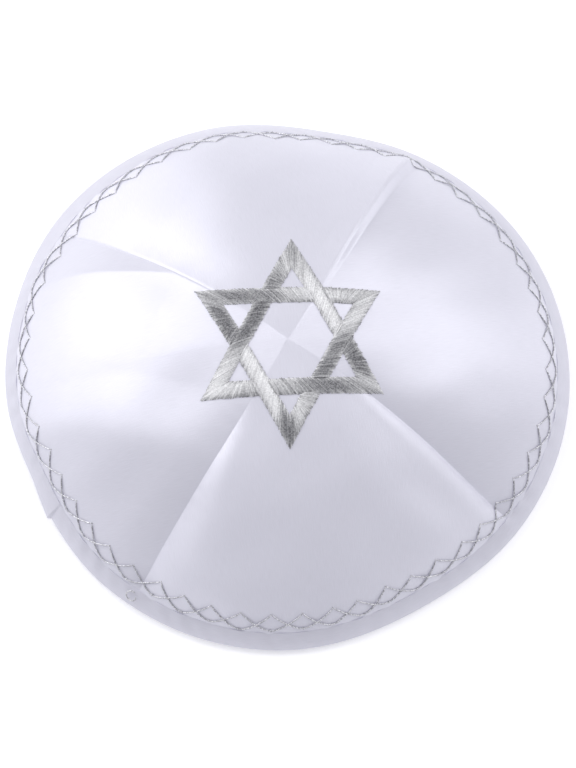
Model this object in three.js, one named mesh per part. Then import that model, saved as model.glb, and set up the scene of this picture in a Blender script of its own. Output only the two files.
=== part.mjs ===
// A satin kippah: a four-panel skullcap with a folded edge tape and an embroidered six-pointed star.
// Millimetres, +Z up. The cap rests rim down on z = 0, with its box centred on x = 0, y = 0.
// -Y is called the front, because it faces the viewer. +Y is the back, -X the left and +X the right.
import * as THREE from 'three';

const { clamp, degToRad, euclideanModulo, lerp, radToDeg, smoothstep } = THREE.MathUtils;

// ---- Driving sizes -----------------------------------------------------------------------------
const CROWN_HEIGHT = 43.5; // crown point above the panels' cut edge
const CROWN_POINT = { x: 0.1, y: -1.4 }; // where the four panels meet, from the rim's centre
const CROWN_LEAN = 0.1; // rise of the crown for each millimetre towards the back
const RIM_CENTRE = { x: 0.02, y: 0.15 }; // puts the finished cap's box on the origin
const RIM_HEIGHT = 2.0; // the panels' cut edge above the surface that the cap rests on

const SATIN_WALL = 1.0; // outer satin and its backing together
const PIECE_GAP = 0.3; // clearance left between any two pieces
const TIP_RADIUS = 0.6; // the panels stop this far from the crown point

const TAPE = { width: 6.5, thickness: 0.85, gap: 0.35, segments: 84 };
const TAPE_END = { azimuth: 212, length: 16, thickness: 0.7, steps: 6 };
const STAR = { x: 0.8, y: -1.55, band: 4.7, thickness: 1.0, edgeThickness: 0.4, steps: 14, rows: 4 };
const PANEL_STEPS = 20; // mesh steps across a panel and from its tip to the rim
const SEAM_CROWDING = 0.5; // how far a panel's mesh lines crowd towards its two seams

// The rim, seen from above: how far it reaches from its centre at each azimuth, how far it is lifted
// off the surface, and how full the wall above it is (1 stands steep at the rim, 0 slopes gently).
const RIM = [
  { azimuth: 0, reach: 86.8, lift: 0, fullness: 1 },
  { azimuth: 30, reach: 86.8, lift: 0, fullness: 0.8 },
  { azimuth: 60, reach: 84.8, lift: 0, fullness: 0.8 },
  { azimuth: 82, reach: 83.2, lift: 0, fullness: 0.8 },
  { azimuth: 108, reach: 87.1, lift: 0, fullness: 0.5 },
  { azimuth: 140, reach: 89.2, lift: 0, fullness: 0.1 },
  { azimuth: 165, reach: 87.6, lift: 0, fullness: 0.6 },
  { azimuth: 185, reach: 86.4, lift: 0, fullness: 1 },
  { azimuth: 203, reach: 84.0, lift: 2.5, fullness: 1 },
  { azimuth: 230, reach: 85.4, lift: 0, fullness: 1 },
  { azimuth: 268, reach: 85.2, lift: 0, fullness: 1 },
  { azimuth: 300, reach: 82.5, lift: 0, fullness: 1 },
  { azimuth: 328, reach: 85.1, lift: 0, fullness: 0.8 },
];

// How the wall turns down from the crown point: its slope at the rim, and how late it turns.
const FULL_WALL = wallProfile({ slope: 62, lateness: 1.25 });
const GENTLE_WALL = wallProfile({ slope: 45, lateness: 0.75 });

// The seams between panels: their azimuth at the crown point and at the rim, and how far they bow
// between the two. Each follows a broad ridge and a narrower lip (valleys when below 0). Pairs are
// values at the crown and at the rim: the lip's height, and its width on the side before the seam
// (smaller azimuth) and after it. Softness shapes the lip's slope.
const SEAMS = {
  right_back: { crown: 56.5, rim: 61.0, bow: 1.6, ridge: 0.8, lip: [1.0, 3.0], before: [0.8, 3.6], after: [4.5, 9.0], softness: 1.3 },
  left_back: { crown: 142.6, rim: 147.0, bow: 1.0, ridge: 0, lip: [0.4, 0.4], before: [8, 8], after: [8, 8], softness: 1.9 },
  front_left: { crown: 240.5, rim: 236.8, bow: -1.0, ridge: -0.2, lip: [-0.6, -1.9], before: [9, 14], after: [1.8, 6.5], softness: 2.3 },
  front_right: { crown: 330.0, rim: 325.6, bow: -1.8, ridge: -0.4, lip: [-0.6, -2.0], before: [1.8, 9.0], after: [8, 12], softness: 2.5 },
};
const PANELS = [
  { name: 'panel_back', from: 'right_back', to: 'left_back' },
  { name: 'panel_left', from: 'left_back', to: 'front_left' },
  { name: 'panel_front', from: 'front_left', to: 'front_right' },
  { name: 'panel_right', from: 'front_right', to: 'right_back' },
];

const RIDGE_WIDTH = 9;

// The shares between which the lips rise beyond the star, and all sharp folds die out before the tape.
const LIP_START = { from: 0.42, to: 0.65 };
const HEM = { from: 0.84, to: 0.93 };

// Soft swells (height above 0) and hollows (below 0) in the cloth: middle, heading in degrees, size.
const FOLDS = [
  { name: 'right ridge', x: 56, y: -15, heading: 346, halfLength: 28, halfWidth: 14, height: 1.3 },
  { name: 'right front hollow', x: 62, y: -38, heading: 330, halfLength: 18, halfWidth: 8, height: -0.8 },
  { name: 'front dent', x: 48, y: -47, heading: 330, halfLength: 14, halfWidth: 6, height: -1.0 },
  { name: 'front hollow', x: 10, y: -62, heading: 0, halfLength: 30, halfWidth: 12, height: -0.9 },
  { name: 'back swell', x: -28, y: 50, heading: 90, halfLength: 24, halfWidth: 20, height: 1.2 },
  { name: 'front left swell', x: -24, y: -71, heading: 341, halfLength: 14, halfWidth: 7, height: 2.0 },
  { name: 'front right swell', x: 42, y: -60, heading: 36, halfLength: 18, halfWidth: 7, height: 1.8 },
];

// A flat that rises from the left back seam, wider towards the rim, then falls back.
const FACET = { seam: 'left_back', start: 0.4, end: 0.92, width: 20, slope: 0.27, recovery: 34 };

// The long rounded fold across the left panel, from its inner end to the rim.
const LEFT_FOLD = { x: -20, y: -35, endX: -86, endY: -17, height: 1.7, round: 4, startWidth: 14, endWidth: 16 };

// The star's six points, counter-clockwise: heading and reach from the star's centre.
const STAR_TIPS = [
  { heading: 30.9, reach: 31.3 },
  { heading: 89.4, reach: 32.4 },
  { heading: 150.3, reach: 32.6 },
  { heading: 213.7, reach: 31.8 },
  { heading: 270.0, reach: 32.0 },
  { heading: 331.4, reach: 31.6 },
];

// ---- Materials ---------------------------------------------------------------------------------
const satin = new THREE.MeshStandardMaterial({ color: 0xe8e8f4, roughness: 0.38, metalness: 0 });
const tapeSatin = new THREE.MeshStandardMaterial({ color: 0xdedee9, roughness: 0.45, metalness: 0 });
const silverThread = new THREE.MeshStandardMaterial({ color: 0xb4b4b8, roughness: 0.35, metalness: 0.8 });

// ---- The crown's form --------------------------------------------------------------------------

// One value of the rim table at any azimuth, by a smooth curve through its rows.
function rimValue(azimuth, column) {
  const turned = euclideanModulo(azimuth, 360);
  const row = RIM.findLastIndex((entry) => entry.azimuth <= turned);
  const at = (index) => {
    const entry = RIM[euclideanModulo(index, RIM.length)];
    return { azimuth: entry.azimuth + 360 * Math.floor(index / RIM.length), value: entry[column] };
  };
  const [before, start, end, after] = [at(row - 1), at(row), at(row + 1), at(row + 2)];
  const slopeBetween = (a, b) => (b.value - a.value) / (b.azimuth - a.azimuth);
  const span = end.azimuth - start.azimuth;
  const u = (turned - start.azimuth) / span;
  return (
    (2 * u ** 3 - 3 * u ** 2 + 1) * start.value +
    (u ** 3 - 2 * u ** 2 + u) * span * slopeBetween(before, end) +
    (3 * u ** 2 - 2 * u ** 3) * end.value +
    (u ** 3 - u ** 2) * span * slopeBetween(start, after)
  );
}

// The rim stands on the surface or above it, never below.
const rimLift = (azimuth) => Math.max(0, rimValue(azimuth, 'lift'));

// A wall's run outward and drop, both 0 at the crown point and 1 at the rim, in equal steps of length.
function wallProfile({ slope, lateness }) {
  const steps = 400;
  const run = [0];
  const drop = [0];
  for (let step = 1; step <= steps; step++) {
    const angle = degToRad(slope) * ((step - 0.5) / steps) ** lateness;
    run.push(run[step - 1] + Math.cos(angle));
    drop.push(drop[step - 1] + Math.sin(angle));
  }
  const read = (values, share) => {
    const place = clamp(share, 0, 1) * steps;
    const step = Math.min(Math.floor(place), steps - 1);
    return lerp(values[step], values[step + 1], place - step) / values[steps];
  };
  return { run: (share) => read(run, share), drop: (share) => read(drop, share) };
}

// The smooth crown without ridges or folds. share is 0 at the crown point and 1 at the rim.
function smoothPoint(azimuth, share) {
  const reach = rimValue(azimuth, 'reach');
  const lift = rimLift(azimuth);
  const fullness = clamp(rimValue(azimuth, 'fullness'), 0, 1);
  const run = lerp(GENTLE_WALL.run(share), FULL_WALL.run(share), fullness);
  const drop = lerp(GENTLE_WALL.drop(share), FULL_WALL.drop(share), fullness);
  const pull = 1 - share ** 2;
  const x = run * reach * Math.cos(degToRad(azimuth)) + CROWN_POINT.x * pull;
  const y = run * reach * Math.sin(degToRad(azimuth)) + CROWN_POINT.y * pull;
  const z = lift + (CROWN_HEIGHT - lift) * (1 - drop) + CROWN_LEAN * y * (1 - run ** 2);
  return new THREE.Vector3(x, y, z);
}

function smoothNormal(azimuth, share) {
  const inner = clamp(share, 0.02, 0.99);
  const outward = smoothPoint(azimuth, inner + 0.01).sub(smoothPoint(azimuth, inner - 0.01));
  const around = smoothPoint(azimuth + 1, inner).sub(smoothPoint(azimuth - 1, inner));
  return outward.cross(around).normalize();
}

function seamAzimuth(name, share) {
  const { crown, rim, bow } = SEAMS[name];
  return lerp(crown, rim, share) + bow * 4 * share * (1 - share);
}

// Millimetres from a seam, positive on the side of growing azimuth.
function seamDistance(name, azimuth, share, radius) {
  return degToRad(euclideanModulo(azimuth - seamAzimuth(name, share) + 180, 360) - 180) * radius;
}

const bell = (distance, width) => Math.exp(-((distance / width) ** 2));

// A crest that falls from 1 to 0 over its width, rounded at the top.
function tent(distance, width, power, round) {
  const rounded = Math.hypot(distance, round) - round;
  return clamp(1 - rounded / width, 0, 1) ** power;
}

function seamRelief(name, azimuth, share, radius) {
  const { ridge, lip, before, after, softness } = SEAMS[name];
  const distance = seamDistance(name, azimuth, share, radius);
  const width = distance > 0 ? lerp(after[0], after[1], share) : lerp(before[0], before[1], share);
  const rise = smoothstep(share, LIP_START.from, LIP_START.to) * (1 - smoothstep(share, HEM.from, HEM.to));
  const broad = ridge * bell(distance, RIDGE_WIDTH) * Math.sin(Math.PI * clamp(share, 0, 1));
  return broad + lerp(lip[0], lip[1], share) * rise * tent(distance, width, softness, 0.2);
}

function foldRelief(fold, place) {
  const heading = degToRad(fold.heading);
  const [dx, dy] = [place.x - fold.x, place.y - fold.y];
  const along = dx * Math.cos(heading) + dy * Math.sin(heading);
  const across = dy * Math.cos(heading) - dx * Math.sin(heading);
  return fold.height * bell(along, fold.halfLength) * bell(across, fold.halfWidth);
}

function facetRelief(azimuth, share, radius) {
  const { seam, start, end, width: fullWidth, slope, recovery } = FACET;
  const reach = Math.max(seamDistance(seam, azimuth, share, radius), 0);
  const width = fullWidth * clamp((share - start) / (end - start), 0, 1.2);
  const back = width * clamp(1 - (reach - width) / recovery, 0, 1);
  return slope * (1 - 0.45 * smoothstep(share, 0.6, 0.95)) * Math.min(reach, back);
}

function leftFoldRelief(place) {
  const { x, y, endX, endY, height, round, startWidth, endWidth } = LEFT_FOLD;
  const length = Math.hypot(endX - x, endY - y);
  const [cos, sin] = [(endX - x) / length, (endY - y) / length];
  const [dx, dy] = [place.x - x, place.y - y];
  const t = (dx * cos + dy * sin) / length;
  const fade = smoothstep(t, -0.1, 0.25) * (1 - smoothstep(t, 0.95, 1.2));
  const width = lerp(startWidth, endWidth, clamp(t, 0, 1));
  return height * fade * tent(dy * cos - dx * sin, width, 1.3, round);
}

// How far seams and folds raise the cloth above the smooth crown. Nothing rises at the crown or rim.
function relief(azimuth, share, place) {
  const freedom = Math.sin(Math.PI * clamp(share, 0, 1));
  const hem = 1 - smoothstep(share, HEM.from, HEM.to);
  const radius = Math.hypot(place.x, place.y);
  let height = 0;
  for (const name of Object.keys(SEAMS)) height += seamRelief(name, azimuth, share, radius);
  for (const fold of FOLDS) height += foldRelief(fold, place) * freedom;
  height += facetRelief(azimuth, share, radius) * clamp(freedom * 2.6, 0, 1) * hem;
  height += leftFoldRelief(place) * Math.sqrt(freedom) * hem;
  return height;
}

// A point of the finished cap: offset is the distance outside the satin's outer face.
function crownPoint(azimuth, share, offset = 0) {
  const place = smoothPoint(azimuth, share);
  const raised = relief(azimuth, share, place) + offset;
  place.addScaledVector(smoothNormal(azimuth, share), raised);
  return place.add(new THREE.Vector3(RIM_CENTRE.x, RIM_CENTRE.y, RIM_HEIGHT));
}

// The cloth's length from the crown point to the rim.
function wallLength(azimuth) {
  const steps = 12;
  let length = 0;
  for (let step = 0; step < steps; step++) {
    length += smoothPoint(azimuth, step / steps).distanceTo(smoothPoint(azimuth, (step + 1) / steps));
  }
  return length;
}

// A point near the rim: up is the distance up the wall from the panels' cut edge.
function wallPoint(azimuth, up, offset) {
  const length = wallLength(azimuth);
  const edge = crownPoint(azimuth, 1, offset);
  if (up >= 0) return crownPoint(azimuth, 1 - up / length, offset);
  const above = crownPoint(azimuth, 1 - 1 / length, offset);
  return edge.addScaledVector(above.sub(edge), up);
}

// The azimuth and share of the crown that lie under a plan position, measured from the rim's centre.
function crownPlace(x, y) {
  let share = Math.hypot(x, y) / RIM[0].reach;
  let azimuth = 0;
  for (let turn = 0; turn < 60; turn++) {
    const pull = 1 - share ** 2;
    const centre = { x: CROWN_POINT.x * pull, y: CROWN_POINT.y * pull };
    azimuth = radToDeg(Math.atan2(y - centre.y, x - centre.x));
    const point = smoothPoint(azimuth, share);
    const missing = Math.hypot(x - centre.x, y - centre.y) - Math.hypot(point.x - centre.x, point.y - centre.y);
    share = clamp(share + missing / 100, 0, 1);
  }
  return { azimuth, share };
}

// ---- Pieces ------------------------------------------------------------------------------------

// Moves every vertex of a geometry to where a function sends it.
function bend(geometry, place) {
  const position = geometry.getAttribute('position');
  const vertex = new THREE.Vector3();
  for (let index = 0; index < position.count; index++) {
    vertex.fromBufferAttribute(position, index);
    const { x, y, z } = place(vertex.clone());
    position.setXYZ(index, x, y, z);
  }
  geometry.computeVertexNormals();
  return geometry;
}

// A quarter of the crown: a bent block, thin in z, from its tip at x = 0 to the rim at x = 1.
function panelGeometry({ from, to }) {
  const block = new THREE.BoxGeometry(1, 1, 1, PANEL_STEPS, PANEL_STEPS, 1).translate(0.5, 0.5, -0.5);
  const tipShare = TIP_RADIUS / RIM[0].reach;
  return bend(block, ({ x, y, z }) => {
    const share = lerp(tipShare, 1, x ** 0.8);
    const start = seamAzimuth(from, share);
    const width = euclideanModulo(seamAzimuth(to, share) - start, 360);
    const seamPoint = smoothPoint(start, share);
    const radius = Math.hypot(seamPoint.x - CROWN_POINT.x, seamPoint.y - CROWN_POINT.y);
    const inset = radToDeg(Math.asin(Math.min(PIECE_GAP / 2 / radius, 0.5)));
    const spread = y - (SEAM_CROWDING * Math.sin(2 * Math.PI * y)) / (2 * Math.PI);
    return crownPoint(start + lerp(inset, width - inset, spread), share, z * SATIN_WALL);
  });
}

// The tape's section in (offset, up): a strip folded over the panels' edge.
function tapeSection(outside, inside, thickness, bottom) {
  const corner = thickness * 0.6;
  const top = TAPE.width;
  return [
    [outside, top],
    [outside + corner, top],
    [outside + thickness, top - corner],
    [outside + thickness, 0.6],
    [outside + thickness - corner, bottom - thickness],
    [inside + corner, bottom - thickness],
    [inside - thickness + corner, bottom - thickness],
    [inside - thickness, 0.6],
    [inside - thickness, top - corner],
    [inside - corner, top],
    [inside, top],
    [inside, bottom],
    [outside, bottom],
  ].map(([offset, up]) => new THREE.Vector2(offset, up));
}

// The tape is pressed flat along its inner edge, where the cap rests on it.
function edgeTapeGeometry() {
  const hub = 10; // keeps the section clear of the lathe's axis before it is bent onto the rim
  const section = tapeSection(TAPE.gap, -SATIN_WALL - TAPE.gap, TAPE.thickness, -TAPE.gap);
  const outline = section.map(({ x, y }) => new THREE.Vector2(hub + x, y));
  const ring = new THREE.LatheGeometry([...outline, outline[0].clone()].reverse(), TAPE.segments);
  return bend(ring, ({ x, y, z }) => {
    const azimuth = radToDeg(Math.atan2(x, z));
    const offset = Math.hypot(x, z) - hub;
    const point = wallPoint(azimuth, y, offset);
    const rests = y < -TAPE.gap - TAPE.thickness / 2 && offset < 0;
    if (rests) point.z = rimLift(azimuth);
    return point;
  });
}

// The tape's cut end, lapped over its beginning where the rim is lifted.
function tapeEndGeometry() {
  const lap = TAPE.gap + TAPE.thickness + PIECE_GAP;
  const section = tapeSection(lap, -SATIN_WALL - lap, TAPE_END.thickness, -lap - TAPE.gap);
  const angle = radToDeg(TAPE_END.length / rimValue(TAPE_END.azimuth, 'reach'));
  const strip = new THREE.ExtrudeGeometry(new THREE.Shape(section), {
    depth: angle,
    steps: TAPE_END.steps,
    bevelEnabled: false,
  });
  return bend(strip, ({ x, y, z }) => wallPoint(TAPE_END.azimuth - z, y, x));
}

const starTip = (index) => {
  const { heading, reach } = STAR_TIPS[euclideanModulo(index, 6)];
  const angle = degToRad(heading);
  return new THREE.Vector2(STAR.x + reach * Math.cos(angle), STAR.y + reach * Math.sin(angle));
};

// The edge of the star's bar from one tip to the next but one, moved inward by inset.
function barEdge(index, inset) {
  const start = starTip(index);
  const along = starTip(index + 2).sub(start).normalize();
  const outward = new THREE.Vector2(along.y, -along.x);
  return { outward, distance: outward.dot(start) - inset };
}

function meet(a, b) {
  const cross = a.outward.cross(b.outward);
  const x = (a.distance * b.outward.y - b.distance * a.outward.y) / cross;
  const y = (b.distance * a.outward.x - a.distance * b.outward.x) / cross;
  return new THREE.Vector2(x, y);
}

// One arm of the star: both bars that meet at a tip. The short one stops at the bar that crosses
// over it, and the long one crosses a bar and stops where it dives under the next.
function starArmGeometry(index) {
  const edge = (inset) => [
    meet(barEdge(index, inset), barEdge(index - 1, -PIECE_GAP)),
    meet(barEdge(index, inset), barEdge(index - 2, inset)),
    meet(barEdge(index - 2, inset), barEdge(index + 3, STAR.band + PIECE_GAP)),
  ];
  const [outer, inner] = [edge(0), edge(STAR.band)];
  const along = (line, place) => {
    const leg = place < 0.5 ? 0 : 1;
    return line[leg].clone().lerp(line[leg + 1], place * 2 - leg);
  };
  const block = new THREE.BoxGeometry(1, 1, 1, STAR.steps, STAR.rows, 1).translate(0.5, 0.5, 0.5);
  return bend(block, ({ x, y, z }) => {
    const plan = along(inner, x).lerp(along(outer, x), y);
    const { azimuth, share } = crownPlace(plan.x, plan.y);
    const arch = lerp(STAR.edgeThickness, STAR.thickness, Math.sin(Math.PI * y));
    return crownPoint(azimuth, share, PIECE_GAP + 0.1 + z * arch);
  });
}

// ---- Assembly ----------------------------------------------------------------------------------
function piece(name, geometry, material) {
  const mesh = new THREE.Mesh(geometry, material);
  mesh.name = name;
  return mesh;
}

const kippah = new THREE.Group();
for (const panel of PANELS) kippah.add(piece(panel.name, panelGeometry(panel), satin));
kippah.add(piece('edge_tape', edgeTapeGeometry(), tapeSatin));
kippah.add(piece('tape_end', tapeEndGeometry(), tapeSatin));
for (let index = 0; index < STAR_TIPS.length; index++) {
  kippah.add(piece(`star_arm_${index + 1}`, starArmGeometry(index), silverThread));
}

export default kippah;
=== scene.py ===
# %% [markdown]
# # A satin kippah
#
# A kippah is a small round cap. This one is sewn from four triangles of white satin that meet at
# the crown. A satin tape is folded over its rim, two silver threads zigzag round the border, and a
# silver six-pointed star is embroidered on top. Cloth is all curves, so every piece here starts as
# a flat grid or a plain path, and one set of functions bends it onto the same crown.

# %% The frame that everything is built around
import math
from collections import namedtuple

import bmesh
import bpy
import numpy as np
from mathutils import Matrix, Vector


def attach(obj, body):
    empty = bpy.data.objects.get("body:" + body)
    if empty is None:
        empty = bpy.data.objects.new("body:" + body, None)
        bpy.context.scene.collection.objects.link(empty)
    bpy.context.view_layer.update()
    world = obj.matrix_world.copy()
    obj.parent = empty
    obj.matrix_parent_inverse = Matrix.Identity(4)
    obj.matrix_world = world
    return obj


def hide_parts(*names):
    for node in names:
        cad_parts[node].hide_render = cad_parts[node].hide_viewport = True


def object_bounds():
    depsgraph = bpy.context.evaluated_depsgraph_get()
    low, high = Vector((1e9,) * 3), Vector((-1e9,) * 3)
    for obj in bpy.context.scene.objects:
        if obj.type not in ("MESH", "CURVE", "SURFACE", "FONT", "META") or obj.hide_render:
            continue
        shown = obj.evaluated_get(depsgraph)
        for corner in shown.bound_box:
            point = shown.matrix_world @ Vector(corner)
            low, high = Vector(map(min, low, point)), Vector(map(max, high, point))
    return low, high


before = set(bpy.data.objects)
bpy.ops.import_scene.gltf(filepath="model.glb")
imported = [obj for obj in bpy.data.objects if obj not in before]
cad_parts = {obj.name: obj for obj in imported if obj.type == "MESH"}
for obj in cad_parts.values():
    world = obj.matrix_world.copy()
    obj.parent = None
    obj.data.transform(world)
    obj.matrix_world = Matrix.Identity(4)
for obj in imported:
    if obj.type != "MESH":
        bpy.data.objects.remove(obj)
cad_low, cad_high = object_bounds()
CAP_CENTRE = (cad_low + cad_high) / 2
MM = 0.001
print("cap", [round(v / MM, 1) for v in cad_high - cad_low], "mm")

# %% [markdown]
# ## Camera
#
# The camera comes first, because every later choice is judged through it. It looks down steeply
# from the front with a long lens, so the cap fills the frame with almost no perspective. The frame
# is upright, so the lens is worked out against its long side.

# %% Camera
CAMERA_ELEVATION = math.radians(72)
CAMERA_DISTANCE = 0.9
CAMERA_LENS = 138.5
CAMERA_AIM = Vector((0.0002, -0.0070, 0.0195))

camera_data = bpy.data.cameras.new("camera")
camera_data.lens = CAMERA_LENS
camera_data.sensor_width = 36
camera_data.clip_start = 0.05
camera = bpy.data.objects.new("camera", camera_data)
bpy.context.scene.collection.objects.link(camera)
towards_camera = Vector((0, -math.cos(CAMERA_ELEVATION), math.sin(CAMERA_ELEVATION)))
camera.location = CAMERA_AIM + towards_camera * CAMERA_DISTANCE
camera.rotation_euler = (-towards_camera).to_track_quat("-Z", "Y").to_euler()
bpy.context.scene.camera = camera
print("camera stands", round(camera.location.z, 3), "m above the floor")

# %% [markdown]
# ## Light
#
# Satin shows its form by what it reflects, so the light is as much a part of the look as the cloth.
# A wide soft window stands low on the left and towards the back, and cloth that leans that way
# turns white. A second wide light on the right lifts the right panel. The small ones each pick out
# one side, and the pale room keeps cloth that leans to the front a cool lavender grey.

# %% Lights
ROOM_COLOUR = (0.95, 0.95, 1.0, 1)
ROOM_STRENGTH = 0.53
Lamp = namedtuple("Lamp", "name azimuth elevation distance width height power")
LAMPS = (
    Lamp("window", 154, 36, 0.9, 0.74, 0.76, 3.8),
    Lamp("back_window", 136, 14, 0.9, 0.25, 0.25, 0.35),
    Lamp("right_fill", 23, 46, 1.1, 0.75, 0.8, 3.4),
    Lamp("right_low", 12, 15, 1.1, 0.35, 0.35, 0.7),
    Lamp("left_fill", 205, 42, 1.1, 0.4, 0.4, 0.25),
    Lamp("ceiling_strip", 90, 82, 1.1, 0.13, 0.6, 0.65),
)
for lamp in LAMPS:
    light = bpy.data.lights.new(lamp.name, "AREA")
    light.shape = "RECTANGLE"
    light.size = lamp.width
    light.size_y = lamp.height
    light.energy = lamp.power
    light_object = bpy.data.objects.new(lamp.name, light)
    turn = math.radians(lamp.azimuth)
    rise = math.radians(lamp.elevation)
    level = math.cos(rise)
    direction = Vector((math.cos(turn) * level, math.sin(turn) * level, math.sin(rise)))
    light_object.location = CAP_CENTRE + direction * lamp.distance
    light_object.rotation_euler = (-direction).to_track_quat("-Z", "Y").to_euler()
    bpy.context.scene.collection.objects.link(light_object)

world = bpy.data.worlds.new("room")
bpy.context.scene.world = world
world.use_nodes = True
room = world.node_tree.nodes["Background"]
room.inputs["Color"].default_value = ROOM_COLOUR
room.inputs["Strength"].default_value = ROOM_STRENGTH
bpy.context.scene.view_settings.view_transform = "Standard"
print(len(LAMPS), "soft lights,", round(sum(lamp.power for lamp in LAMPS), 2), "watts together")

# %% [markdown]
# ## Shader maths as Python
#
# A material is a graph of nodes, and a formula made of nodes is hard to read. Here a small class
# wraps a socket, and each arithmetic sign adds the Math node that does it. The reflected forms make
# the sign work when a plain number stands on its left.


# %% Wires
class Wire:
    """A socket that can be used in a Python expression."""

    def __init__(self, finish, socket):
        self.finish = finish
        self.socket = socket

    def maths(self, operation, *values):
        """A Math node whose inputs are wires or numbers."""
        made = self.finish.node("ShaderNodeMath", {"operation": operation}, dict(enumerate(values)))
        return made.out(0)

    def __add__(self, other):
        return self.maths("ADD", self, other)

    def __radd__(self, other):
        return self.maths("ADD", other, self)

    def __sub__(self, other):
        return self.maths("SUBTRACT", self, other)

    def __rsub__(self, other):
        return self.maths("SUBTRACT", other, self)

    def __mul__(self, other):
        return self.maths("MULTIPLY", self, other)

    def __rmul__(self, other):
        return self.maths("MULTIPLY", other, self)


print("a wire takes", sum(name.startswith("__r") for name in vars(Wire)), "signs, both ways round")

# %% [markdown]
# Every other node comes from one method. It takes the node's type, then the node's own settings,
# which can change the sockets that it has, and then the values or wires of those sockets. The
# nodes that come up again and again get a short name each.


# %% Finishes
class Node:
    """One shader node, whose outputs are wires."""

    def __init__(self, finish, node):
        self.finish = finish
        self.node = node

    def out(self, key):
        return Wire(self.finish, self.node.outputs[key])


class Finish:
    """A material, and the nodes that make its look."""

    def __init__(self, name):
        self.material = bpy.data.materials.new(name)
        self.material.use_nodes = True
        self.tree = self.material.node_tree
        self.tree.nodes.clear()

    def node(self, kind, settings=None, sockets=None):
        """A new node, with its own settings first and then its sockets."""
        made = self.tree.nodes.new(kind)
        for setting, value in (settings or {}).items():
            if setting == "stops":
                self.set_stops(made.color_ramp, value)
            else:
                setattr(made, setting, value)
        for key, value in (sockets or {}).items():
            if isinstance(value, Wire):
                self.tree.links.new(value.socket, made.inputs[key])
            else:
                made.inputs[key].default_value = value
        return Node(self, made)

    @staticmethod
    def set_stops(ramp, stops):
        while len(ramp.elements) < len(stops):
            ramp.elements.new(1.0)
        for element, (place, value) in zip(ramp.elements, stops):
            element.position = place
            element.color = (value, value, value, 1)

    def object_place(self):
        return self.node("ShaderNodeTexCoord").out("Object")

    def stretched(self, place, scale):
        return self.node("ShaderNodeMapping", {}, {"Vector": place, "Scale": scale}).out("Vector")

    def noise(self, place, scale, detail):
        sockets = {"Vector": place, "Scale": scale, "Detail": detail}
        return self.node("ShaderNodeTexNoise", {}, sockets).out(0)

    def ramp(self, value, stops):
        return self.node("ShaderNodeValToRGB", {"stops": stops}, {"Fac": value}).out("Color")

    def blend_colour(self, share, first, second):
        sockets = {0: share, 6: first, 7: second}
        return self.node("ShaderNodeMix", {"data_type": "RGBA"}, sockets).out(2)

    def bump(self, height, strength, distance):
        sockets = {"Height": height, "Strength": strength, "Distance": distance}
        return self.node("ShaderNodeBump", {}, sockets).out("Normal")

    def surface(self, sockets):
        """Ends the finish with one shader, and gives its material."""
        shader = self.node("ShaderNodeBsdfPrincipled", {}, sockets)
        self.node("ShaderNodeOutputMaterial", {}, {"Surface": shader.out("BSDF")})
        return self.material


print("finish makers:", ", ".join(name for name in vars(Finish) if not name.startswith("_")))

# %% [markdown]
# ## Satin
#
# Satin floats its warp threads over the weft, so it shines like brushed metal: the gleam is drawn
# out across the threads, and it changes when the cloth is turned. That is why neighbouring panels
# look lighter and darker. A partly metallic, anisotropic finish gives that gleam, and fine streaks
# along the warp break it up. Each panel carries its own flat cloth map, in metres, which tells the
# finish which way the warp runs.


# %% Satin finish
CLOTH_MAP = "cloth"
WARP_TURN = 0.25
WARP_SCALE = (5200.0, 260.0, 1.0)
WEFT_SCALE = (400.0, 4200.0, 1.0)
CLOUD_SCALE = 26.0
SHADE = 0.93
THREAD_DEPTH = 0.00012


def satin_finish(name, colour, roughness, metallic, anisotropy, streak):
    """Satin whose colour, roughness and relief vary with its threads and in soft clouds."""
    finish = Finish(name)
    cloth = finish.node("ShaderNodeUVMap", {"uv_map": CLOTH_MAP}).out("UV")
    warp = finish.noise(finish.stretched(cloth, WARP_SCALE), 1.0, detail=2.0)
    weft = finish.noise(finish.stretched(cloth, WEFT_SCALE), 1.0, detail=1.0)
    cloud = finish.noise(finish.object_place(), CLOUD_SCALE, detail=3.0)
    shade = tuple(SHADE * value for value in colour[:3]) + (1.0,)
    shaded = finish.ramp(warp * 0.55 + cloud * 0.45, ((0.35, 0), (0.7, 1)))
    base = finish.blend_colour(shaded, colour, shade)
    rough = roughness + (cloud - 0.5) * 0.10 + (warp - 0.5) * 0.06
    normal = finish.bump(warp * 0.7 + weft * 0.3, streak, THREAD_DEPTH)
    tangent = finish.node("ShaderNodeTangent", {"direction_type": "UV_MAP", "uv_map": CLOTH_MAP})
    return finish.surface({
        "Base Color": base,
        "Roughness": rough,
        "Metallic": metallic,
        "Anisotropic": anisotropy,
        "Anisotropic Rotation": WARP_TURN,
        "Tangent": tangent.out("Tangent"),
        "Normal": normal,
        "Sheen Weight": 0.15,
        "Sheen Roughness": 0.4,
    })


SATIN_WHITE = (0.80, 0.795, 0.885, 1.0)
TAPE_WHITE = (0.72, 0.715, 0.80, 1.0)
satin = satin_finish(
    "satin", SATIN_WHITE, roughness=0.48, metallic=0.35, anisotropy=0.7, streak=0.35
)
tape_satin = satin_finish(
    "satin_tape", TAPE_WHITE, roughness=0.5, metallic=0.25, anisotropy=0.3, streak=0.5
)
print("satin finishes", satin.name, tape_satin.name)

# %% [markdown]
# ## Silver thread
#
# Metallic thread is a thin foil wound round a core. It is nearly a mirror, so one stitch shows the
# light and the next shows the dark room. A mirror of this size would only flicker, so the finish is
# duller than the real foil, and the star's stitches get painted highlights and painted shade in
# their colour instead, from dark to light, each stitch its own. Fine noise varies the colour along
# the thread, as the winding does. The border has no painted light, because its thread turns all the
# time, so it keeps more of the mirror.


# %% Silver thread finish
PAINTED_LIGHT = "tone"
PAINTED_LIGHT_SHARE = 0.72
WINDING_SCALE = 2200.0
WINDING_DEPTH = 0.00005


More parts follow.
